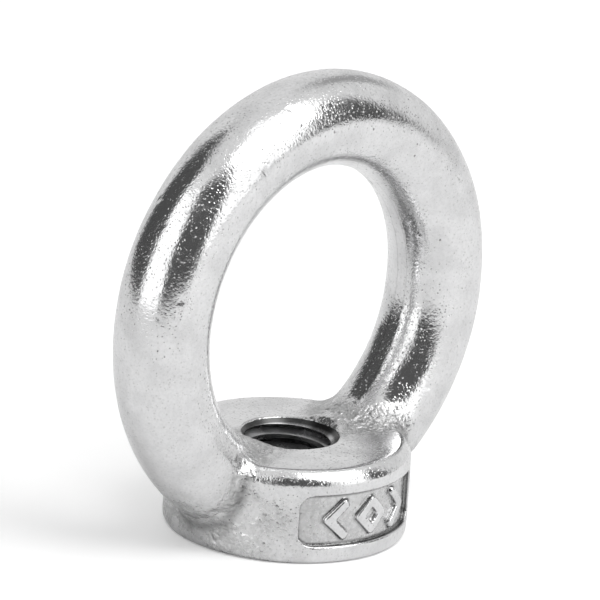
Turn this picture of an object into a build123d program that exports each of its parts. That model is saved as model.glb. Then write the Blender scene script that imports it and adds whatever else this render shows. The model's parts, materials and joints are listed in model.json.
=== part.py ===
from build123d import *
from build123d.topology import SkipClean
import math
import os

# Lifting eye nut with an M8 thread, in millimetres.
# The thread axis is Z. The origin is the centre of the seat, the flat face under the collar.
# The ring stands in the XZ plane, so its own axis runs along Y.

# Ring
ring_outer_d = 39.2
bar_d = 7.8
ring_sink = 0.6          # how far the ring's lowest point would reach below the seat

# Collar
collar_d = 20.0
collar_height = 7.9
bevel_width = 0.8
bevel_height = 0.9
bevel_round = 0.4
foot_round = 0.4
root_fillet = 1.1        # where the ring's legs run into the collar
leg_stub = 0.6           # height of the legs above their fillets, up to where the ring is split off

# Thread, metric coarse
thread_d = 8.0
thread_pitch = 1.25
flank_angle = 30
mouth_flare = 0.1        # how much wider than the thread the countersink's mouth is, all round
segments_per_turn = 6

# Recessed panels on both broad sides of the collar
panel_width = 12.5
panel_foot = 1.5         # plain metal left below a panel
panel_head = 1.1         # plain metal left between a panel and the bevel
panel_depth = 0.45
panel_corner = 1.1

# Raised marks in the panels
mark_margin = 0.45       # above and below a mark
mark_width = 2.1
mark_spacing = 3.35
mark_stroke = 0.75
mark_dot_d = 1.5
mark_drop = 0.08         # how far the marks stay below the collar's side

ring_r = (ring_outer_d - bar_d) / 2
ring_z = ring_outer_d / 2 - ring_sink
collar_r = collar_d / 2
leg_top = collar_height + root_fillet + leg_stub
root_r = thread_d / 2
crest_r = root_r - 5 / 8 * thread_pitch * math.sqrt(3) / 2
mouth_r = root_r + mouth_flare
panel_height = collar_height - bevel_height - panel_head - panel_foot
panel_mid_z = panel_foot + panel_height / 2
mark_height = panel_height - 2 * mark_margin
panel_floor_r = collar_r - panel_depth
mark_face_r = collar_r - mark_drop

margin = 1.0             # how far cutting tools run past what they cut
near = 0.01


def upright_cylinder(radius, low, high):
    return Pos(0, 0, low) * Cylinder(radius, high - low, align=(Align.CENTER, Align.CENTER, Align.MIN))


def circles_between(body, low, high):
    circles = body.edges().filter_by(GeomType.CIRCLE)
    return circles.filter_by_position(Axis.Z, low - near, high + near)


def collar_blank():
    # The turned outside of the collar, before any hole or panel is cut.
    outline = Polyline(
        (0, 0),
        (collar_r, 0),
        (collar_r, collar_height - bevel_height),
        (collar_r - bevel_width, collar_height),
        (0, collar_height),
        close=True,
    )
    blank = revolve(Plane.XZ * make_face(outline), Axis.Z)
    blank = fillet(circles_between(blank, 0, 0), foot_round)
    return fillet(circles_between(blank, collar_height - bevel_height, collar_height), bevel_round)


def countersinks():
    # A 90 degree cone at each mouth, wide enough to run out past the face.
    wide = mouth_r + margin
    low = Cone(wide, 0, wide, align=(Align.CENTER, Align.CENTER, Align.MIN))
    high = Cone(0, wide, wide, align=(Align.CENTER, Align.CENTER, Align.MAX))
    return Pos(0, 0, -margin) * low + Pos(0, 0, collar_height + margin) * high


def bore():
    # The thread's root cylinder, with both countersinks. It stops inside the eye.
    return upright_cylinder(root_r, -margin, ring_z) + countersinks()


def band(inner, outer):
    return upright_cylinder(outer, 0, collar_height) - upright_cylinder(inner, 0, collar_height)


def push_out(outline, at_back):
    # A flat outline about the panel's middle, pushed out through the front (-Y) or the back (+Y).
    prism = extrude(Plane.XZ * Pos(0, panel_mid_z) * outline, collar_r + margin)
    return Rot(0, 0, 180) * prism if at_back else prism


def panel(at_back):
    if at_back:
        outline = SlotOverall(panel_width, panel_height)
    else:
        outline = RectangleRounded(panel_width, panel_height, panel_corner)
    return push_out(outline, at_back) & band(panel_floor_r, collar_r + margin)


def chevron(direction):
    reach = (mark_width - mark_stroke) / 2
    rise = (mark_height - mark_stroke) / 2
    spine = Polyline((direction * reach, rise), (-direction * reach, 0), (direction * reach, -rise))
    return trace(spine, mark_stroke)


def hollow(sides):
    outer = mark_height / 2
    inner = outer - mark_stroke / math.cos(math.pi / sides)
    return RegularPolygon(outer, sides) - RegularPolygon(inner, sides)


def dot():
    return Circle(mark_dot_d / 2)


def marks(at_back):
    outlines = [dot(), hollow(6), dot()] if at_back else [chevron(1), hollow(4), chevron(-1)]
    raised = []
    for place, outline in zip((-mark_spacing, 0, mark_spacing), outlines):
        mark = push_out(Pos(place, 0) * outline, at_back) & band(panel_floor_r, mark_face_r)
        raised.extend(mark.solids())
    return Compound(children=raised)


def on_ring(point):
    across = math.hypot(point.X, point.Z - ring_z) - ring_r
    return abs(math.hypot(across, point.Y) - bar_d / 2) < near


def on_collar(point):
    return near < point.Z < collar_height + near and math.hypot(point.X, point.Y) < collar_r + near


def joins(edge):
    # True for an edge that runs along the meeting line of the ring and the collar.
    points = [edge @ share for share in (near, 0.5, 1 - near)]
    return all(on_ring(point) and on_collar(point) for point in points)


def casting(blank):
    # Ring and collar in one, with the fillets where the legs run in.
    ring = Pos(0, 0, ring_z) * Rot(90, 0, 0) * Torus(ring_r, bar_d / 2)
    ring -= Pos(0, 0, -bar_d) * Box(ring_outer_d, ring_outer_d, 2 * bar_d)
    whole = ring + blank
    return fillet([edge for edge in whole.edges() if joins(edge)], root_fillet)


def lower_half_space():
    # Everything below the level where the legs are clear of their fillets.
    depth = leg_top + margin
    size = 2 * ring_outer_d
    return Pos(0, 0, -margin) * Box(size, size, depth, align=(Align.CENTER, Align.CENTER, Align.MIN))


def collar(whole):
    return (whole - bore() - panel(False) - panel(True)) & lower_half_space()


def eye_ring(whole):
    return whole - lower_half_space() - bore()


def thread_half_width(radius):
    return thread_pitch / 8 + (radius - crest_r) * math.tan(math.radians(flank_angle))


def internal_thread():
    # One short stretch of the ridge, between true crest and root cylinders, repeated up the bore.
    inner = crest_r - thread_pitch / 8
    outer = root_r + thread_pitch / 12
    section = Polyline(
        (inner, -thread_half_width(inner)),
        (outer, -thread_half_width(outer)),
        (outer, thread_half_width(outer)),
        (inner, thread_half_width(inner)),
        close=True,
    )
    rise = thread_pitch / segments_per_turn
    path = Helix(pitch=thread_pitch, height=rise, radius=(crest_r + root_r) / 2)
    stretch = sweep(Plane.XZ * make_face(section), path=path, is_frenet=True)
    tube = upright_cylinder(root_r, -thread_pitch, thread_pitch)
    stretch = (stretch & tube) - upright_cylinder(crest_r, -thread_pitch, thread_pitch)
    count = math.ceil((collar_height / thread_pitch + 2) * segments_per_turn)
    turn = 360 / segments_per_turn
    places = [Pos(0, 0, i * rise - thread_pitch) * Rot(0, 0, i * turn) for i in range(count)]
    stretches = [place * stretch.solid() for place in places]
    # The stretches keep their own faces, so that the crest stays a row of plain cylinder faces.
    with SkipClean():
        ridge = stretches[0].fuse(*stretches[1:])
        return ridge & (upright_cylinder(root_r, 0, collar_height) - countersinks())


whole = casting(collar_blank())
nodes = {
    "eye_ring": eye_ring(whole),
    "collar": collar(whole),
    "internal_thread": internal_thread(),
    "front_marks": marks(False),
    "back_marks": marks(True),
}
os.makedirs("parts", exist_ok=True)
for name, shape in nodes.items():
    export_step(shape, f"parts/{name}.step")
    print(name, len(shape.solids()), round(shape.volume, 2))
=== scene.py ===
import json
import math

import bmesh
import bpy
import numpy as np
from mathutils import Matrix, Vector


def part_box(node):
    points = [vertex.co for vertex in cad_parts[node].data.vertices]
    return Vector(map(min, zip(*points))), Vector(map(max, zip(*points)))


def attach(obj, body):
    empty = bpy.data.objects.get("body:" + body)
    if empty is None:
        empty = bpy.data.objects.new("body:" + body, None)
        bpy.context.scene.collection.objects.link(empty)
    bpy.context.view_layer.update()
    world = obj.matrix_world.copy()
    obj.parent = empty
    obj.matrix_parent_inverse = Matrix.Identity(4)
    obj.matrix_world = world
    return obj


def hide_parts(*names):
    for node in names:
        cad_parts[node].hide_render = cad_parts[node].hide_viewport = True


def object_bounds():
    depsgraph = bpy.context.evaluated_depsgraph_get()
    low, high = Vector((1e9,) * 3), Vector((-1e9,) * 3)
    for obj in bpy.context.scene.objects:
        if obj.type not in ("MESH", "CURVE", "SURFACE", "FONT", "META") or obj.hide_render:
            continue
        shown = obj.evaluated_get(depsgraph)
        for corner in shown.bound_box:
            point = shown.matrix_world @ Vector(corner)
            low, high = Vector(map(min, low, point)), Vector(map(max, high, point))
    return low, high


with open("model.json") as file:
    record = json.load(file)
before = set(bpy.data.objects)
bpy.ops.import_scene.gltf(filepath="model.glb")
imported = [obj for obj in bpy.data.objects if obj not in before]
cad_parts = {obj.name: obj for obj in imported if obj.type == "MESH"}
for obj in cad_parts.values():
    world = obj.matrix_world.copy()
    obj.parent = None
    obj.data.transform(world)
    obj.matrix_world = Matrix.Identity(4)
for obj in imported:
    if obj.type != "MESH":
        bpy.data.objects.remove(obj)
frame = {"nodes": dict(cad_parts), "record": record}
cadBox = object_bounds()
scene = bpy.context.scene
mm = 0.001
white = (1.0, 1.0, 1.0, 1.0)
print("frame loaded:", ", ".join(sorted(frame["nodes"])))


# Sizes read off the frame, in millimetres
def highCorner(node):
    return np.array(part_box(node)[1]) / mm


mounts = {m["name"]: m for m in frame["record"]["mounts"]}
ringHigh = highCorner("eye_ring")
collarHigh = highCorner("collar")
threadHigh = highCorner("internal_thread")
eyeZ = mounts["eye"]["pos_m"][2] / mm

nut = {
    "ringZ": eyeZ,
    "barR": round(ringHigh[1], 1),
    "outerR": round(ringHigh[2] - eyeZ, 1),
    "splitZ": collarHigh[2],
    "collarR": round(collarHigh[1], 1),
    "collarH": 2 * mounts["thread"]["pos_m"][2] / mm,
    "rootR": round(threadHigh[0], 1),
}
nut["ringR"] = nut["outerR"] - nut["barR"]

# Shape of the casting, in millimetres
casting = {
    "legBlend": 1.25,           # how softly the legs run into the collar
    "bevelWidth": 0.8,
    "bevelHeight": 0.9,
    "rimSoftness": 0.34,
    "footCut": 0.325,           # how far the foot's corner is cut back
    "footSoftness": 0.3,
    "seatSoftness": 0.08,       # at the seat's rim, on the collar alone
    "underSoftness": 0.1,       # the same on the whole casting
    "innerFlat": 0.032,         # depth of the narrow flat inside the eye
    "flatSoftness": 0.03,
    "flatEnd": (0.4, 1.6),      # height above the collar at which the flat runs out
    "flatEndRise": 0.3,
    "mouthR": 4.1,
    "mouthSoftness": 0.1,
    "boreReach": 1.5,           # how far above the collar the bore is cut
    "panelHalfWidth": 6.25,
    "panelHalfHeight": 2.2,
    "panelMidZ": 3.7,
    "panelDepth": 0.45,
    "panelSoftness": 0.12,
    "floorSoftness": 0.1,
    "frontCorner": 1.1,
    "backCorner": 2.156,        # nearly half the height, so that the ends are round
    "markSpacing": 3.35,
    "markHalfHeight": 1.75,
    "markHalfWidth": 1.05,
    "markStroke": 0.75,
    "dotR": 0.75,
    "markDrop": 0.08,           # how far the marks stay below the collar's side
    "markSoftness": 0.12,
}
faceEdge = nut["collarR"] - casting["bevelWidth"]
flatEdge = math.sqrt(2 * nut["barR"] * casting["innerFlat"])

# Unevenness left by the mould and the tumbling barrel, in millimetres
surface = {
    "swell": (5.5, 0.030),      # feature size, height
    "dimples": (1.7, 0.010),
    "peel": (0.55, 0.0022),
    "cornerSugar": (0.42, 0.042),
    "pitCount": 170,
    "pitRadius": (0.10, 0.30),
    "pitDepth": (0.02, 0.06),
    "pitSpread": 2.5,           # how many radii out a pit is still felt
    "seed": 12,
    "sugarSeed": 7,
}

# How finely the skins are made, in millimetres and counts
meshing = {
    "collarCell": 0.137,
    "ringAlong": 620,
    "ringAround": 132,
    "relaxRounds": 4,
    "relaxShare": 0.6,
    "slopeStep": 0.02,
    "longestMove": 0.3,
    "weld": 0.001,
    "cutWeld": 0.0001,
    "collarSpare": 1.2,         # how far each skin runs past the split before it is cut
    "collarSettled": 0.9,
    "ringSpare": 0.8,
}


# Distance fields, in millimetres, negative inside the metal
def softMin(a, b, softness):
    overlap = np.maximum(softness - np.abs(a - b), 0.0) / softness
    return np.minimum(a, b) - overlap * overlap * softness * 0.25


def softMax(a, b, softness):
    return -softMin(-a, -b, softness)


def fade(values, low, high):
    t = np.clip((values - low) / (high - low), 0.0, 1.0)
    return t * t * (3.0 - 2.0 * t)


def fadeOut(values, low, high):
    return 1.0 - fade(values, low, high)


def unevenness(points, size, seed):
    # Smooth random field between about -1 and 1
    noise = {"tableSize": 4096, "seedShift": 17.31, "primes": (73856093, 19349663, 83492791)}
    table = np.random.default_rng(seed).uniform(-1.0, 1.0, noise["tableSize"])
    place = points / size + noise["seedShift"] * (seed + 1)
    cell = np.floor(place).astype(np.int64)
    t = place - cell
    t = t * t * t * (t * (6.0 * t - 15.0) + 10.0)
    total = np.zeros(len(points))
    for corner in range(8):
        step = np.array([corner & 1, corner >> 1 & 1, corner >> 2 & 1])
        key = (cell + step) * np.array(noise["primes"])
        key = (key[:, 0] ^ key[:, 1] ^ key[:, 2]) & (noise["tableSize"] - 1)
        total += table[key] * np.prod(np.where(step == 1, t, 1.0 - t), axis=1)
    return total


def ringField(points):
    x, y, z = points.T
    across = np.hypot(x, z - nut["ringZ"])
    bar = np.hypot(across - nut["ringR"], y) - nut["barR"]
    clear = nut["ringR"] - nut["barR"] + casting["innerFlat"]
    # The narrow flat runs round the inside of the eye, above the collar
    low, high = casting["flatEnd"]
    above = casting["flatEndRise"] * fade(nut["collarH"] - z, -high, -low)
    return softMax(bar, clear - across - above, casting["flatSoftness"])


def collarField(points):
    x, y, z = points.T
    radius = np.hypot(x, y)
    side = radius - nut["collarR"]
    top = z - nut["collarH"]
    width, height = casting["bevelWidth"], casting["bevelHeight"]
    bevel = (height * (side + width) + width * top) / math.hypot(width, height)
    body = softMax(softMax(side, bevel, casting["rimSoftness"]), top, casting["rimSoftness"])
    foot = (side - z + casting["footCut"]) * math.sqrt(0.5)
    body = softMax(body, foot, casting["footSoftness"])
    return softMax(body, -z, casting["seatSoftness"])


def slabDistance(u, v, halfWidth, halfHeight, corner):
    du = np.abs(u) - halfWidth + corner
    dv = np.abs(v) - halfHeight + corner
    outside = np.hypot(np.maximum(du, 0.0), np.maximum(dv, 0.0))
    return outside + np.minimum(np.maximum(du, dv), 0.0) - corner


def strokeDistance(u, v, a, b):
    # Distance to the straight stroke from a to b
    ab = np.array(b) - np.array(a)
    t = np.clip(((u - a[0]) * ab[0] + (v - a[1]) * ab[1]) / ab.dot(ab), 0.0, 1.0)
    return np.hypot(u - a[0] - t * ab[0], v - a[1] - t * ab[1]) - casting["markStroke"] / 2


def polygonDistance(u, v, corners):
    # Outline drawn with the mark stroke round a regular polygon
    reach = casting["markHalfHeight"] - casting["markStroke"] / 2 / math.cos(math.pi / corners)
    angles = [2 * math.pi * i / corners for i in range(corners)]
    ends = [(reach * math.cos(a), reach * math.sin(a)) for a in angles]
    sides = [strokeDistance(u, v, ends[i - 1], ends[i]) for i in range(corners)]
    return np.minimum.reduce(sides)


def frontMarks(u, v):
    reach = casting["markHalfWidth"] - casting["markStroke"] / 2
    rise = casting["markHalfHeight"] - casting["markStroke"] / 2
    strokes = [polygonDistance(u, v, 4)]
    for side in (-1, 1):
        shifted = u - side * casting["markSpacing"]
        tip = (side * reach, 0.0)
        strokes += [strokeDistance(shifted, v, (-side * reach, end), tip) for end in (rise, -rise)]
    return np.minimum.reduce(strokes)


def backMarks(u, v):
    shapes = [polygonDistance(u, v, 6)]
    for side in (-1, 1):
        shapes.append(np.hypot(u - side * casting["markSpacing"], v) - casting["dotR"])
    return np.minimum.reduce(shapes)


def panelOutline(points, atBack):
    x, y, z = points.T
    outward = y if atBack else -y
    corner = casting["backCorner"] if atBack else casting["frontCorner"]
    half = (casting["panelHalfWidth"], casting["panelHalfHeight"])
    outline = slabDistance(x, z - casting["panelMidZ"], *half, corner)
    return np.maximum(outline, -outward)


def panelFields(points, atBack):
    x, y, z = points.T
    u = -x if atBack else x
    v = z - casting["panelMidZ"]
    outward = y if atBack else -y
    radius = np.hypot(x, y)
    outline = panelOutline(points, atBack)
    floor = nut["collarR"] - casting["panelDepth"] - radius
    marks = backMarks(u, v) if atBack else frontMarks(u, v)
    marks = np.maximum(marks, -outward)
    markFace = radius - nut["collarR"] + casting["markDrop"]
    recess = softMax(outline, floor, casting["floorSoftness"])
    return recess, softMax(marks, markFace, casting["markSoftness"])


def boreField(points):
    x, y, z = points.T
    radius = np.hypot(x, y)
    hole = radius - nut["rootR"]
    lowCone = (radius - casting["mouthR"] + z) * math.sqrt(0.5)
    highCone = (radius - casting["mouthR"] + nut["collarH"] - z) * math.sqrt(0.5)
    top = z - nut["collarH"] - casting["boreReach"]
    return np.maximum(np.minimum.reduce([hole, lowCone, highCone]), top)


def plainField(points):
    body = softMin(ringField(points), collarField(points), casting["legBlend"])
    body = softMax(body, -points[:, 2], casting["underSoftness"])
    for atBack in (False, True):
        recess, marks = panelFields(points, atBack)
        body = softMax(body, -recess, casting["panelSoftness"])
        body = softMin(body, marks, casting["markSoftness"])
    return softMax(body, -boreField(points), casting["mouthSoftness"])


# Where the barrel can't polish, and where shade is painted darker into the colour, in millimetres
hollows = {"near": (0.5, 2.0), "legOut": (5.0, 8.5), "legUp": (4.0, 7.0), "legShare": 0.55}
creases = {
    "leg": (0.28, 0.75),
    "legTop": (6.0, 8.5),
    "legShare": 0.75,
    "panelEdge": (0.14, 0.34),
    "panelDepth": (0.03, 0.2),
    "recessEdge": (-0.1, 0.1),
    "markFoot": (0.05, 0.24),
    "markDepth": (0.2, 0.4),
    "markClear": (-0.02, 0.1),
    "boreWall": (0.02, 0.1),
    "boreTop": (0.0, 0.25),
}


def hollowSkinAndShadeMask(points):
    # 1 in the hollows between the legs and the collar, less under the legs: raw cast skin there,
    # and painted shade, since the colour is made darker
    x, _, z = points.T
    near = np.maximum(np.abs(ringField(points)), np.abs(collarField(points)))
    # Under the legs the darker colour is painted shade, for the contact shadow that the collar
    # reflects
    underLeg = fade(np.abs(x), *hollows["legOut"]) * fadeOut(z, *hollows["legUp"])
    return np.maximum(fadeOut(near, *hollows["near"]), hollows["legShare"] * underLeg)


def creaseShadeMask(points):
    # 1 along the sharp inside corners, the panel edges, the feet of the marks and the bore wall:
    # painted shade there
    x, y, z = points.T
    radius = np.hypot(x, y)
    depth = nut["collarR"] - radius
    legs = np.hypot(ringField(points), collarField(points))
    mask = creases["legShare"] * fadeOut(legs, *creases["leg"]) * fadeOut(z, *creases["legTop"])
    for atBack in (False, True):
        recess, marks = panelFields(points, atBack)
        outline = np.abs(panelOutline(points, atBack))
        # Painted shadow along the panel edges and round the feet of the marks
        edge = fadeOut(outline, *creases["panelEdge"]) * fade(depth, *creases["panelDepth"])
        sunk = fade(depth, *creases["markDepth"]) * fade(-recess, *creases["recessEdge"])
        foot = fadeOut(np.abs(marks), *creases["markFoot"]) * sunk
        mask = np.maximum.reduce([mask, edge, foot])
    # Painted shade down the bore wall, dark because the hole is deep
    inBore = fadeOut(radius - nut["rootR"], *creases["boreWall"])
    return np.maximum(mask, inBore * fade(nut["collarH"] - z, *creases["boreTop"]))


def panelFloorSkinAndShadeMask(points):
    # 1 on the floors of both panels, between the marks: raw cast skin, and painted shade in the
    # recess
    mask = np.zeros(len(points))
    for atBack in (False, True):
        recess, marks = panelFields(points, atBack)
        inside = fade(-recess, *creases["recessEdge"])
        mask = np.maximum(mask, inside * fade(marks, *creases["markClear"]))
    return mask


def choosePits():
    rng = np.random.default_rng(surface["seed"])
    angle = rng.uniform(0, 2 * math.pi, surface["pitCount"])
    around = rng.uniform(0, 2 * math.pi, surface["pitCount"])
    out = nut["ringR"] + nut["barR"] * np.cos(around)
    z = nut["ringZ"] + out * np.sin(angle)
    places = np.stack([out * np.cos(angle), nut["barR"] * np.sin(around), z], axis=1)
    radius = rng.uniform(*surface["pitRadius"], surface["pitCount"])
    depth = rng.uniform(*surface["pitDepth"], surface["pitCount"])
    return places, radius, depth


pits = choosePits()


def pitDepth(points):
    depth = np.zeros(len(points))
    for place, radius, deep in zip(*pits):
        reach = surface["pitSpread"] * radius
        near = np.flatnonzero(np.abs(points - place).max(axis=1) < reach)
        away = ((points[near] - place) ** 2).sum(axis=1)
        depth[near] += deep * np.exp(-away / radius**2)
    return depth


def roughness(points):
    # Height to take off the smooth surface at each point
    height = pitDepth(points)
    for seed, layer in enumerate(("swell", "dimples", "peel")):
        size, amount = surface[layer]
        height += amount * unevenness(points, size, seed)
    size, amount = surface["cornerSugar"]
    return height + amount * hollowSkinAndShadeMask(points) * unevenness(points, size, surface["sugarSeed"])


def slope(points, field):
    steps = np.eye(3) * meshing["slopeStep"]
    parts = [field(points + s) - field(points - s) for s in steps]
    gradient = np.stack(parts, axis=1)
    return gradient / np.maximum(np.linalg.norm(gradient, axis=1, keepdims=True), 1e-9)


def settle(points, rounds):
    # Moves points onto the smooth surface
    longest = meshing["longestMove"]
    for _ in range(rounds):
        move = np.clip(plainField(points), -longest, longest)
        points = points - slope(points, plainField) * move[:, None]
    return points


def roughen(points):
    return points - slope(points, plainField) * roughness(points)[:, None]


def relax(points, edges):
    # Evens out the spacing of the points
    total = np.zeros_like(points)
    count = np.zeros(len(points))
    for a, b in (edges.T, edges.T[::-1]):
        np.add.at(total, a, points[b])
        np.add.at(count, a, 1)
    middle = total / np.maximum(count, 1)[:, None]
    return points + meshing["relaxShare"] * (middle - points)


# Meshes
def meshPoints(mesh):
    flat = np.empty(len(mesh.vertices) * 3)
    mesh.vertices.foreach_get("co", flat)
    return flat.reshape(-1, 3) / mm


def setMeshPoints(mesh, points):
    mesh.vertices.foreach_set("co", (points * mm).ravel())
    mesh.update()


def newObject(name, data):
    obj = bpy.data.objects.new(name, data)
    scene.collection.objects.link(obj)
    return obj


def cutLevel(mesh, height, keepUpper):
    # Cuts the mesh off level at a height and closes the cut
    shape = bmesh.new()
    shape.from_mesh(mesh)
    everything = shape.verts[:] + shape.edges[:] + shape.faces[:]
    cut = bmesh.ops.bisect_plane(
        shape, geom=everything, dist=meshing["cutWeld"] * mm,
        plane_co=(0, 0, height * mm), plane_no=(0, 0, 1),
        clear_outer=not keepUpper, clear_inner=keepUpper,
    )
    rim = [e for e in cut["geom_cut"] if isinstance(e, bmesh.types.BMEdge)]
    bmesh.ops.edgeloop_fill(shape, edges=rim)
    shape.to_mesh(mesh)
    shape.free()


def splitSkin(mesh, keepUpper):
    # The two skins share their normals where they meet, so the split can't be seen
    normals = np.empty(len(mesh.vertices) * 3)
    mesh.vertices.foreach_get("normal", normals)
    kept = mesh.attributes.new("smoothNormal", "FLOAT_VECTOR", "POINT")
    kept.data.foreach_set("vector", normals)
    cutLevel(mesh, nut["splitZ"], keepUpper)
    points = meshPoints(mesh)
    masks = {"corner": hollowSkinAndShadeMask, "panel": panelFloorSkinAndShadeMask, "creaseShade": creaseShadeMask}
    for name, mask in masks.items():
        painted = mesh.attributes.new(name, "FLOAT", "POINT")
        painted.data.foreach_set("value", mask(points))
    mesh.polygons.foreach_set("use_smooth", np.ones(len(mesh.polygons), bool))
    normals = np.empty(len(mesh.vertices) * 3)
    mesh.attributes["smoothNormal"].data.foreach_get("vector", normals)
    mesh.normals_split_custom_set_from_vertices(normals.reshape(-1, 3))
    mesh.attributes.remove(mesh.attributes["smoothNormal"])


def collarSkin():
    # The frame's own collar and marks, remeshed finely and settled onto the surface
    shape = bmesh.new()
    for node in ("collar", "eye_ring", "front_marks", "back_marks"):
        shape.from_mesh(frame["nodes"][node].data)
    bmesh.ops.remove_doubles(shape, verts=shape.verts, dist=meshing["weld"] * mm)
    mesh = bpy.data.meshes.new("collarStart")
    shape.to_mesh(mesh)
    shape.free()
    cutLevel(mesh, nut["splitZ"] + meshing["collarSpare"], False)
    start = newObject("collarStart", mesh)
    remesh = start.modifiers.new("remesh", "REMESH")
    remesh.mode = "VOXEL"
    remesh.voxel_size = meshing["collarCell"] * mm
    graph = bpy.context.evaluated_depsgraph_get()
    mesh = bpy.data.meshes.new_from_object(start.evaluated_get(graph))
    bpy.data.objects.remove(start)
    edges = np.empty(len(mesh.edges) * 2, np.int64)
    mesh.edges.foreach_get("vertices", edges)
    edges = edges.reshape(-1, 2)
    points = meshPoints(mesh)
    free = (points[:, 2] < nut["splitZ"] + meshing["collarSettled"])[:, None]
    for _ in range(meshing["relaxRounds"]):
        points = np.where(free, settle(relax(points, edges), 1), points)
    points = np.where(free, roughen(settle(points, 2)), points)
    setMeshPoints(mesh, points)
    mesh.name = "collarCasting"
    splitSkin(mesh, False)
    return newObject("collarCasting", mesh)


def ringSkin():
    along, around = meshing["ringAlong"], meshing["ringAround"]
    lowest = nut["splitZ"] - meshing["ringSpare"]
    reach = math.acos((lowest - nut["ringZ"]) / (nut["ringR"] - nut["barR"]))
    sweep = np.linspace(-reach, reach, along)
    turn = np.linspace(0, 2 * math.pi, around, endpoint=False)
    a, b = np.meshgrid(sweep, turn, indexing="ij")
    out = nut["ringR"] + nut["barR"] * np.cos(b)
    z = nut["ringZ"] + out * np.cos(a)
    points = np.stack([out * np.sin(a), nut["barR"] * np.sin(b), z], axis=-1).reshape(-1, 3)
    free = (points[:, 2] > lowest)[:, None]
    points = np.where(free, roughen(settle(points, 3)), points)
    index = np.arange(along * around).reshape(along, around)
    beside = np.roll(index, -1, axis=1)
    quads = [index[:-1], index[1:], beside[1:], beside[:-1]]    # wound to look outwards
    quads = np.stack(quads, axis=-1).reshape(-1, 4)
    mesh = bpy.data.meshes.new("eyeRingCasting")
    mesh.from_pydata((points * mm).tolist(), [], quads.tolist())
    splitSkin(mesh, True)
    return newObject("eyeRingCasting", mesh)


# Materials
def plug(tree, value, socket):
    # Links another socket, or sets a plain value
    if isinstance(value, bpy.types.NodeSocket):
        tree.links.new(value, socket)
    else:
        socket.default_value = value


def addNode(tree, kind, inputs=None, **settings):
    node = tree.nodes.new(kind)
    for name, value in settings.items():
        setattr(node, name, value)
    for name, value in (inputs or {}).items():
        plug(tree, value, node.inputs[name])
    return node


def maths(tree, operation, first, second=0.0, third=0.0):
    inputs = {0: first, 1: second, 2: third}
    return addNode(tree, "ShaderNodeMath", inputs, operation=operation).outputs[0]


def remap(tree, value, low, high, toLow=0.0, toHigh=1.0):
    inputs = {"Value": value, "From Min": low, "From Max": high, "To Min": toLow, "To Max": toHigh}
    node = addNode(tree, "ShaderNodeMapRange", inputs, interpolation_type="SMOOTHSTEP")
    return node.outputs["Result"]


def mixValues(tree, factor, first, second):
    inputs = {"Factor": factor, "A": first, "B": second}
    return addNode(tree, "ShaderNodeMix", inputs, data_type="FLOAT").outputs["Result"]


def mixColours(tree, factor, first, second):
    node = addNode(tree, "ShaderNodeMix", data_type="RGBA")
    for name, value in {"Factor": factor, "A": first, "B": second}.items():
        plug(tree, value, [i for i in node.inputs if i.name == name and i.enabled][0])
    return [o for o in node.outputs if o.enabled][0]


def noiseTexture(tree, place, scale, detail):
    inputs = {"Vector": place, "Scale": scale, "Detail": detail}
    return addNode(tree, "ShaderNodeTexNoise", inputs).outputs["Fac"]


def newGroup(name, inputs, outputs):
    group = bpy.data.node_groups.new(name, "ShaderNodeTree")
    for label, value in inputs.items():
        kind = "NodeSocketVector" if value is None else "NodeSocketFloat"
        made = group.interface.new_socket(name=label, in_out="INPUT", socket_type=kind)
        if value is not None:
            made.default_value = value
    for label in outputs:
        group.interface.new_socket(name=label, in_out="OUTPUT", socket_type="NodeSocketFloat")
    given = group.nodes.new("NodeGroupInput").outputs
    made = group.nodes.new("NodeGroupOutput").inputs
    return group, given, made


def dimples(group, place, sizeMm, share, reach):
    # Round dents, one in each chosen cell, deepest at the middle and no two of one depth
    shallowest, spread = 0.2, 0.8
    scale = maths(group, "DIVIDE", 1.0 / mm, sizeMm)
    inputs = {"Vector": place, "Scale": scale, "Randomness": 1.0}
    cells = addNode(group, "ShaderNodeTexVoronoi", inputs).outputs
    chance = addNode(group, "ShaderNodeSeparateColor", {"Color": cells["Color"]}).outputs
    chosen = maths(group, "LESS_THAN", chance["Red"], share)
    width = maths(group, "MULTIPLY_ADD", chance["Green"], reach, reach)
    depth = maths(group, "SUBTRACT", 1.0, maths(group, "DIVIDE", cells["Distance"], width))
    uneven = maths(group, "MULTIPLY_ADD", chance["Blue"], spread, shallowest)
    depth = maths(group, "MULTIPLY", depth, uneven)
    return maths(group, "MULTIPLY", chosen, maths(group, "MAXIMUM", depth, 0.0))


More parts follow.
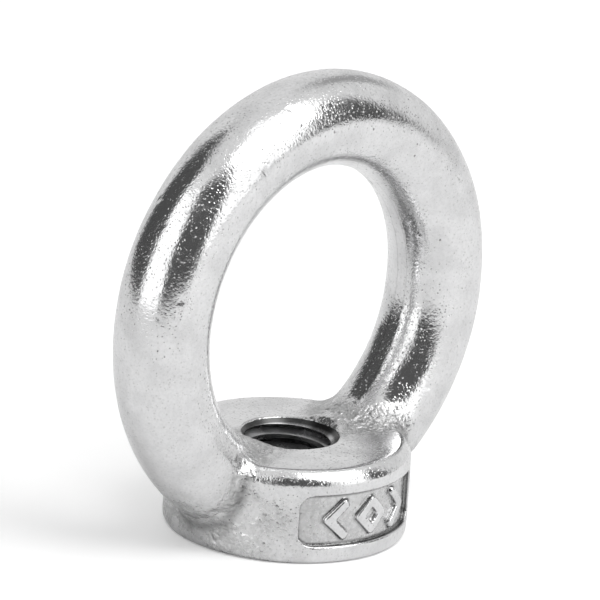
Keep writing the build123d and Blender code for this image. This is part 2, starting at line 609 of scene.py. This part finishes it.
def tumbledGrainGroup():
    # Fine dents from the tumbling barrel, and pits from the casting.
    # Heights are in hundredths of a millimetre, scales in features per metre.
    inputs = {
        "Place": None, "Ripple": 1.1,
        "Dent Size mm": 0.24, "Dent Share": 0.8, "Dent Depth": 2.7,
        "Pit Size mm": 0.75, "Pit Share": 0.14, "Pit Depth": 4.0,
    }
    grain = {
        "rippleScale": 3600.0, "toneScale": 420.0, "mottleScale": 3800.0,
        "dentReach": 0.24, "dentFull": 0.5, "pitReach": 0.09, "pitFull": 0.35,
        "mottleRange": (0.36, 0.66),
    }
    outputs = ("Height", "Pits", "Dents", "Tone", "Mottle")
    group, given, made = newGroup("tumbledGrain", inputs, outputs)
    place = given["Place"]
    dents = dimples(group, place, given["Dent Size mm"], given["Dent Share"], grain["dentReach"])
    pits = dimples(group, place, given["Pit Size mm"], given["Pit Share"], grain["pitReach"])
    ripple = noiseTexture(group, place, grain["rippleScale"], detail=2.0)
    height = maths(group, "MULTIPLY", ripple, given["Ripple"])
    height = maths(group, "SUBTRACT", height, maths(group, "MULTIPLY", dents, given["Dent Depth"]))
    height = maths(group, "SUBTRACT", height, maths(group, "MULTIPLY", pits, given["Pit Depth"]))
    mottle = noiseTexture(group, place, grain["mottleScale"], detail=3.0)
    results = {
        "Height": height,
        "Pits": remap(group, pits, 0.0, grain["pitFull"]),
        "Dents": remap(group, dents, 0.0, grain["dentFull"]),
        "Tone": noiseTexture(group, place, grain["toneScale"], detail=4.0),
        "Mottle": remap(group, mottle, *grain["mottleRange"]),
    }
    for name, value in results.items():
        group.links.new(value, made[name])
    return group


def castSugarGroup():
    # The crystalline skin of the mould, left where nothing rubbed it
    sugar = {"cellShare": 0.9, "speckleRange": (0.72, 1.05)}
    inputs = {"Place": None, "Grain Size mm": 0.3}
    group, given, made = newGroup("castSugar", inputs, ("Height", "Speckle"))
    place = given["Place"]
    scale = maths(group, "DIVIDE", 1.0 / mm, given["Grain Size mm"])
    crystal = {"Vector": place, "Scale": scale}
    cells = addNode(group, "ShaderNodeTexVoronoi", crystal, feature="SMOOTH_F1")
    fine = noiseTexture(group, place, scale, detail=4.0)
    height = maths(group, "MULTIPLY_ADD", cells.outputs["Distance"], sugar["cellShare"], fine)
    group.links.new(height, made["Height"])
    group.links.new(remap(group, height, *sugar["speckleRange"]), made["Speckle"])
    return group


def newMaterial(name):
    material = bpy.data.materials.new(name)
    material.use_nodes = True
    tree = material.node_tree
    return material, tree, tree.nodes["Principled BSDF"]


def connect(tree, shader, sockets):
    for name, value in sockets.items():
        plug(tree, value, shader.inputs[name])


def fineLine(tree, value, middle, halfWidth):
    away = maths(tree, "ABSOLUTE", maths(tree, "SUBTRACT", value, middle))
    return remap(tree, away, 0.0, halfWidth, 1.0, 0.0)


def edgeShadeLines(tree, place):
    # Thin dark lines of painted shade, in millimetres: round the machined top face, and beside the
    # flat in the eye
    line = {
        "halfWidth": 0.075, "rimInset": 0.1, "rimDepth": 0.5, "insideReach": 0.25,
        "flatShare": 0.3, "wander": 0.12, "wanderScale": 500.0,
    }
    axes = addNode(tree, "ShaderNodeSeparateXYZ", {"Vector": place}).outputs
    x, y, z = (maths(tree, "DIVIDE", axes[name], mm) for name in "XYZ")
    wander = noiseTexture(tree, place, line["wanderScale"], detail=2.0)
    wander = maths(tree, "MULTIPLY", maths(tree, "SUBTRACT", wander, 0.5), line["wander"])
    radius = maths(tree, "SQRT", maths(tree, "MULTIPLY_ADD", x, x, maths(tree, "MULTIPLY", y, y)))
    radius = maths(tree, "ADD", radius, wander)
    rim = fineLine(tree, radius, faceEdge - line["rimInset"], line["halfWidth"])
    rim = maths(tree, "MULTIPLY", rim, fineLine(tree, z, nut["collarH"], line["rimDepth"]))
    drop = maths(tree, "SUBTRACT", z, nut["ringZ"])
    across = maths(tree, "MULTIPLY_ADD", x, x, maths(tree, "MULTIPLY", drop, drop))
    across = maths(tree, "SQRT", across)
    inside = maths(tree, "LESS_THAN", across, nut["ringR"] - nut["barR"] + line["insideReach"])
    sideways = maths(tree, "ADD", maths(tree, "ABSOLUTE", y), wander)
    flat = fineLine(tree, sideways, flatEdge, line["halfWidth"])
    flat = maths(tree, "MULTIPLY", flat, line["flatShare"])
    return maths(tree, "MAXIMUM", rim, maths(tree, "MULTIPLY", flat, inside))


def castSteel():
    finish = {
        "bright": (0.775, 0.775, 0.78, 1.0),
        "cloudy": (0.68, 0.68, 0.685, 1.0),
        "dull": (0.53, 0.53, 0.53, 1.0),
        "dent": (0.60, 0.60, 0.60, 1.0),
        "pit": (0.30, 0.30, 0.30, 1.0),
        "paintedShade": (0.10, 0.10, 0.10, 1.0),
        "polished": 0.085,          # roughness, from here to pitRough
        "worn": 0.17,
        "raw": 0.36,
        "recess": 0.34,
        "mottleRough": 0.08,
        "pitRough": 0.2,
        "mottle": 0.22,             # shares of the darker colours
        "paintedShadeShare": 0.85,
        "speckleShare": 0.42,
        "cloudRange": (0.35, 0.68),
        "patchRange": (0.38, 0.62),
        "patchLeast": 0.35,
        "bumpUnit": 0.00001,        # heights, in this unit
        "cornerSugar": 16.0,
        "recessSugar": 4.0,
        "mottleRise": 0.46,
    }
    material, tree, shader = newMaterial("castSteel")
    place = addNode(tree, "ShaderNodeTexCoord").outputs["Object"]
    grain = addNode(tree, "ShaderNodeGroup", {"Place": place}, node_tree=tumbledGrain).outputs
    sugar = addNode(tree, "ShaderNodeGroup", {"Place": place}, node_tree=castSugar).outputs
    corner, recess, creaseShade = (
        addNode(tree, "ShaderNodeAttribute", attribute_name=name).outputs["Fac"]
        for name in ("corner", "panel", "creaseShade")
    )
    # The raw skin of the mould comes and goes in patches
    patchy = remap(tree, grain["Tone"], *finish["patchRange"], finish["patchLeast"], 1.0)
    corner = maths(tree, "MULTIPLY", corner, patchy)
    # Painted shade as well as raw skin: the hollows, under the legs and the panel floors get the
    # dull, darker colour
    unpolishedAndShaded = maths(tree, "MAXIMUM", corner, recess)
    cloud = remap(tree, grain["Tone"], *finish["cloudRange"])

    rough = mixValues(tree, cloud, finish["polished"], finish["worn"])
    rough = mixValues(tree, corner, rough, finish["raw"])
    rough = mixValues(tree, recess, rough, finish["recess"])
    rough = maths(tree, "MULTIPLY_ADD", grain["Mottle"], finish["mottleRough"], rough)
    rough = maths(tree, "MULTIPLY_ADD", grain["Pits"], finish["pitRough"], rough)

    mottle = maths(tree, "MULTIPLY", grain["Mottle"], finish["mottle"])
    speckle = maths(tree, "MULTIPLY", sugar["Speckle"], unpolishedAndShaded)
    speckle = maths(tree, "MULTIPLY", speckle, finish["speckleShare"])
    # Painted shade: the creases, the bore wall and the thin edge lines are coloured nearly black
    paintedShade = maths(tree, "MAXIMUM", creaseShade, edgeShadeLines(tree, place))
    paintedShade = maths(tree, "MULTIPLY", paintedShade, finish["paintedShadeShare"])
    colour = mixColours(tree, cloud, finish["bright"], finish["cloudy"])
    # Each darker colour in turn: dents, mottle and speckle are grain, the unpolished mix is partly
    # painted shade, and the last one is painted shade
    stainsAndShade = (
        (grain["Dents"], "dent"), (mottle, "dull"), (unpolishedAndShaded, "dull"),
        (speckle, "pit"), (grain["Pits"], "pit"), (paintedShade, "paintedShade"),
    )
    for mask, darkerColour in stainsAndShade:
        colour = mixColours(tree, mask, colour, finish[darkerColour])

    sugarDepth = maths(tree, "MULTIPLY", corner, finish["cornerSugar"])
    sugarDepth = mixValues(tree, recess, sugarDepth, finish["recessSugar"])
    height = maths(tree, "MULTIPLY_ADD", sugar["Height"], sugarDepth, grain["Height"])
    height = maths(tree, "MULTIPLY_ADD", grain["Mottle"], finish["mottleRise"], height)
    inputs = {"Height": height, "Distance": finish["bumpUnit"], "Strength": 1.0}
    bump = addNode(tree, "ShaderNodeBump", inputs)
    connect(tree, shader, {
        "Base Color": colour, "Metallic": 1.0, "Roughness": rough, "Normal": bump.outputs["Normal"],
    })
    return material


def cutThreadSteel():
    # Bright flanks with the fine rings that the tap left, dull and dark towards both mouths; the
    # dark is painted shade
    finish = {
        "bright": (0.50, 0.50, 0.505, 1.0),
        "dark": (0.07, 0.07, 0.07, 1.0),
        "mouthShadeDepth": (0.35, 0.6),      # in millimetres from either end
        "polished": 0.20,
        "dull": 0.34,
        "toneRange": (0.3, 0.7),
        "ringScale": 0.05 / 0.00006,    # rings 0.06 mm apart
        "ringWander": 1.5,
        "bumpUnit": 0.000002,
    }
    fineGrain = {"Dent Size mm": 0.12, "Dent Share": 0.3, "Pit Share": 0.05}
    material, tree, shader = newMaterial("cutThreadSteel")
    place = addNode(tree, "ShaderNodeTexCoord").outputs["Object"]
    inputs = {"Place": place, **fineGrain}
    grain = addNode(tree, "ShaderNodeGroup", inputs, node_tree=tumbledGrain).outputs
    level = addNode(tree, "ShaderNodeSeparateXYZ", {"Vector": place}).outputs["Z"]
    middle = nut["collarH"] * mm / 2
    fromMiddle = maths(tree, "ABSOLUTE", maths(tree, "SUBTRACT", level, middle))
    shallow, deep = (middle - depth * mm for depth in finish["mouthShadeDepth"])
    # Painted shade: the colour goes dark towards both mouths of the bore
    mouthShade = remap(tree, fromMiddle, deep, shallow)
    tapMarks = {
        "Vector": place, "Scale": finish["ringScale"],
        "Distortion": finish["ringWander"], "Detail": 2.0,
    }
    rings = addNode(tree, "ShaderNodeTexWave", tapMarks, bands_direction="Z")
    height = maths(tree, "ADD", rings.outputs["Fac"], grain["Height"])
    inputs = {"Height": height, "Distance": finish["bumpUnit"], "Strength": 1.0}
    bump = addNode(tree, "ShaderNodeBump", inputs)
    colour = mixColours(tree, mouthShade, finish["bright"], finish["dark"])
    rough = remap(tree, grain["Tone"], *finish["toneRange"], finish["polished"], finish["dull"])
    connect(tree, shader, {
        "Base Color": colour, "Metallic": 1.0, "Roughness": rough, "Normal": bump.outputs["Normal"],
    })
    return material


# Studio. Azimuth 0 is in front of the nut and 90 is on its right, in degrees.
def direction(azimuth, elevation):
    a, e = math.radians(azimuth), math.radians(elevation)
    return Vector((math.sin(a) * math.cos(e), -math.cos(a) * math.cos(e), math.sin(e)))


def makeCamera():
    view = {
        "azimuth": -46.3, "elevation": 18.1, "roll": 4.2,
        "distance": 0.9, "sensor": 36.0, "lens": 664.2, "farEnd": 100.0,
    }
    back = direction(view["azimuth"], view["elevation"])
    level = direction(view["azimuth"] + 90.0, 0.0)
    roll = math.radians(view["roll"])
    right = level * math.cos(roll) + back.cross(level) * math.sin(roll)
    low, high = cadBox
    data = bpy.data.cameras.new("camera")
    data.sensor_width = view["sensor"]
    data.lens = view["lens"]
    data.clip_end = view["farEnd"]
    camera = newObject("camera", data)
    place = (low + high) / 2 + back * view["distance"]
    turned = Matrix((right, back.cross(right), back)).transposed().to_4x4()
    camera.matrix_world = Matrix.Translation(place) @ turned
    scene.camera = camera


def makeFloor():
    floorLook = {"reach": 40.0, "colour": (0.93, 0.93, 0.93, 1.0), "roughness": 0.9, "lift": 0.21}
    mesh = bpy.data.meshes.new("floor")
    corners = ((-1, -1, 0), (1, -1, 0), (1, 1, 0), (-1, 1, 0))
    corners = [Vector(corner) * floorLook["reach"] for corner in corners]
    mesh.from_pydata(corners, [], [(0, 1, 2, 3)])
    material, tree, shader = newMaterial("paleFloor")
    seen = addNode(tree, "ShaderNodeLightPath").outputs["Is Camera Ray"]
    lift = maths(tree, "MULTIPLY", seen, floorLook["lift"])
    connect(tree, shader, {
        "Base Color": floorLook["colour"], "Roughness": floorLook["roughness"],
        "Specular IOR Level": 0.0, "Emission Color": white, "Emission Strength": lift,
    })
    mesh.materials.append(material)
    newObject("floor", mesh)


def makeTent():
    # A white tent round the nut. Its bright panels and dark gaps show as bands in the steel.
    patches = [
        {"azimuth": -90, "halfWidth": 23, "low": -8, "high": 52, "level": 1.6},
        {"azimuth": 17, "halfWidth": 19, "low": -4, "high": 95, "level": 1.55},
        {"azimuth": -149, "halfWidth": 31, "low": -14, "high": 64, "level": 0.09},
        {"azimuth": -33, "halfWidth": 31, "low": -12, "high": 54, "level": 0.10},
        {"azimuth": 49, "halfWidth": 13, "low": -10, "high": 42, "level": 0.10},
        {"azimuth": 112, "halfWidth": 9, "low": 16, "high": 52, "level": 0.40},
    ]
    tent = {"brightness": 0.84, "edge": 3.0, "cameraSees": 1.0}
    world = bpy.data.worlds.new("whiteTent")
    scene.world = world
    world.use_nodes = True
    tree = world.node_tree
    way = addNode(tree, "ShaderNodeTexCoord").outputs["Generated"]
    axes = addNode(tree, "ShaderNodeSeparateXYZ", {"Vector": way}).outputs
    azimuth = maths(tree, "ARCTAN2", axes["X"], maths(tree, "MULTIPLY", axes["Y"], -1.0))
    azimuth = maths(tree, "DEGREES", azimuth)
    elevation = maths(tree, "DEGREES", maths(tree, "ARCSINE", axes["Z"]))
    light = tent["brightness"]
    edge = tent["edge"]
    for patch in patches:
        side, low, high = patch["halfWidth"], patch["low"], patch["high"]
        offset = maths(tree, "SUBTRACT", azimuth, patch["azimuth"])
        offset = maths(tree, "ABSOLUTE", maths(tree, "WRAP", offset, 180.0, -180.0))
        beside = remap(tree, offset, side - edge, side + edge, 1.0, 0.0)
        above = remap(tree, elevation, high - edge, high + edge, 1.0, 0.0)
        below = remap(tree, elevation, low - edge, low + edge, 0.0, 1.0)
        inside = maths(tree, "MULTIPLY", beside, maths(tree, "MULTIPLY", above, below))
        light = mixValues(tree, inside, light, patch["level"])
    seen = addNode(tree, "ShaderNodeLightPath").outputs["Is Camera Ray"]
    strength = mixValues(tree, seen, light, tent["cameraSees"])
    connect(tree, tree.nodes["Background"], {"Color": white, "Strength": strength})


def makeKeyLight():
    # One large soft box, to the right of the camera and above
    key = {"azimuth": 17, "elevation": 52, "distance": 0.45, "size": 0.31, "power": 0.8}
    back = direction(key["azimuth"], key["elevation"])
    data = bpy.data.lights.new("keySoftbox", "AREA")
    data.shape = "SQUARE"
    data.size = key["size"]
    data.energy = key["power"]
    lamp = newObject("keySoftbox", data)
    lamp.location = back * key["distance"]
    lamp.rotation_euler = back.to_track_quat("Z", "Y").to_euler()


makeCamera()
makeFloor()
makeTent()
makeKeyLight()
scene.view_settings.view_transform = "Standard"
print("studio ready")

tumbledGrain = tumbledGrainGroup()
castSugar = castSugarGroup()
steel = castSteel()
threadSteel = cutThreadSteel()
print("materials ready")

ring = ringSkin()
ring.data.materials.append(steel)
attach(ring, "root")
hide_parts("eye_ring")
print("ring ready:", len(ring.data.polygons), "faces")

collar = collarSkin()
collar.data.materials.append(steel)
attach(collar, "root")
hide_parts("collar", "front_marks", "back_marks")
print("collar ready:", len(collar.data.polygons), "faces")

thread = frame["nodes"]["internal_thread"].data
thread.materials.clear()
thread.materials.append(threadSteel)
print("thread ready:", len(thread.polygons), "faces")
